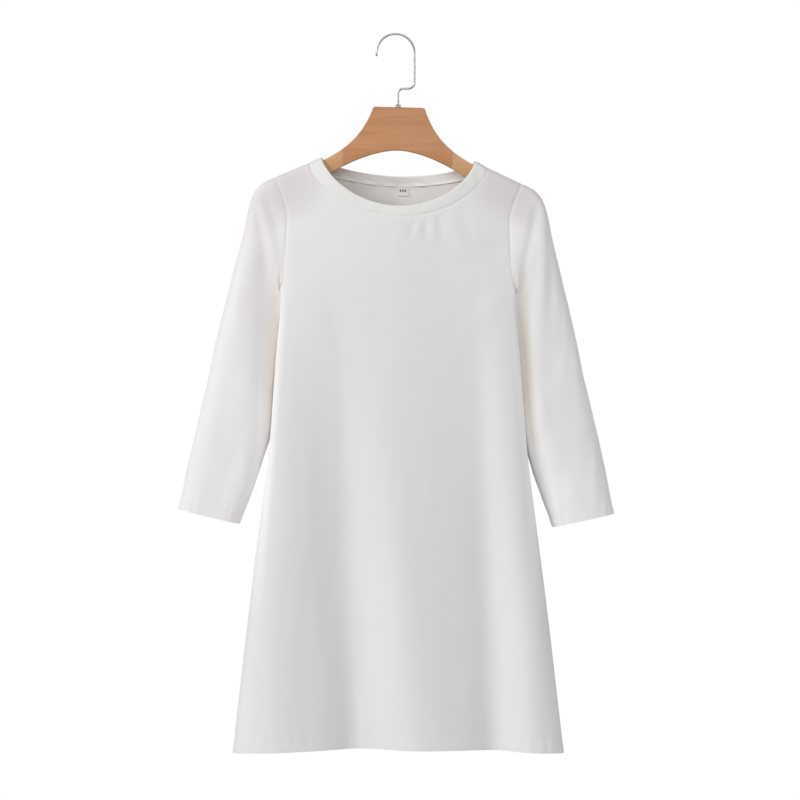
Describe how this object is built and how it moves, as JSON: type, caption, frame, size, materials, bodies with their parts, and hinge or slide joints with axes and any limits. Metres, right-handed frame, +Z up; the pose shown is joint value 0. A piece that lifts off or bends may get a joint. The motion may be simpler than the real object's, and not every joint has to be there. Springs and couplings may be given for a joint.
{
  "type": "sweatshirt dress on a wooden hanger",
  "caption": "Plain A-line sweatshirt dress with a banded round neck and three-quarter sleeves, hung on a wooden hanger with a wire hook.",
  "frame": {"origin": "the inside top of the hanger's hook, where it rests on a rail", "axes": "+Z up, -Y the dress's front, +X the wearer's left"},
  "size_m": [0.6102, 0.1212, 1.006],
  "materials": {
    "knit": "smooth matte white knit",
    "band_knit": "smooth matte white knit, folded double",
    "tape": "smooth white satin tape",
    "beech": "satin lacquer",
    "pale_beech": "satin lacquer",
    "steel": "plain grey wire"
  },
  "bodies": {
    "root": {"dress_front": "knit", "dress_back": "knit", "sleeve_left": "knit", "sleeve_right": "knit", "neckband": "band_knit", "neck_label": "tape", "hanger_centre": "beech", "hanger_arm_left": "pale_beech", "hanger_arm_right": "pale_beech", "hanger_hook": "steel", "hook_nut": "steel"}
  },
  "joints": []
}
